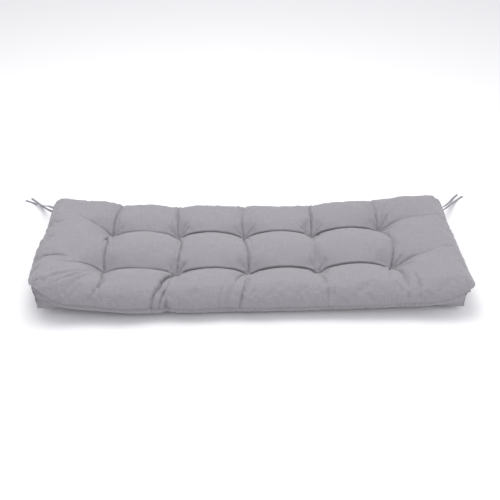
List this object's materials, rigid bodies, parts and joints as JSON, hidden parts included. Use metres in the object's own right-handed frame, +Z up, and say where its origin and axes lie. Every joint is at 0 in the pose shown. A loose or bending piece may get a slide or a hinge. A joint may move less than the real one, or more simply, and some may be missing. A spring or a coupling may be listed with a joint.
{
  "type": "bench cushion",
  "caption": "Long filled bench cushion with a tufted top, boxed sides and narrow tie tapes at its rear corners.",
  "frame": {"origin": "on the floor under the middle of the cushion's own box, the tie tapes left out of it", "axes": "+X along the bench to the right as seen from the front, +Y to the back where the tie tapes are, +Z up through the cushion as it lies on its back"},
  "size_m": [1.6329, 0.7458, 0.1312],
  "materials": {
    "cover_cloth": "matt plain weave, light grey",
    "tape": "matt, folded and sewn from the cover cloth",
    "thread": "matt twisted thread"
  },
  "bodies": {
    "root": {"cushion": "cover_cloth", "tuft_back_1": "thread", "tuft_back_2": "thread", "tuft_back_3": "thread", "tuft_back_4": "thread", "tuft_back_5": "thread", "tuft_front_1": "thread", "tuft_front_2": "thread", "tuft_front_3": "thread", "tuft_front_4": "thread", "tuft_front_5": "thread", "tie_left_a": "tape", "tie_left_b": "tape", "tie_right_a": "tape", "tie_right_b": "tape"}
  },
  "joints": []
}
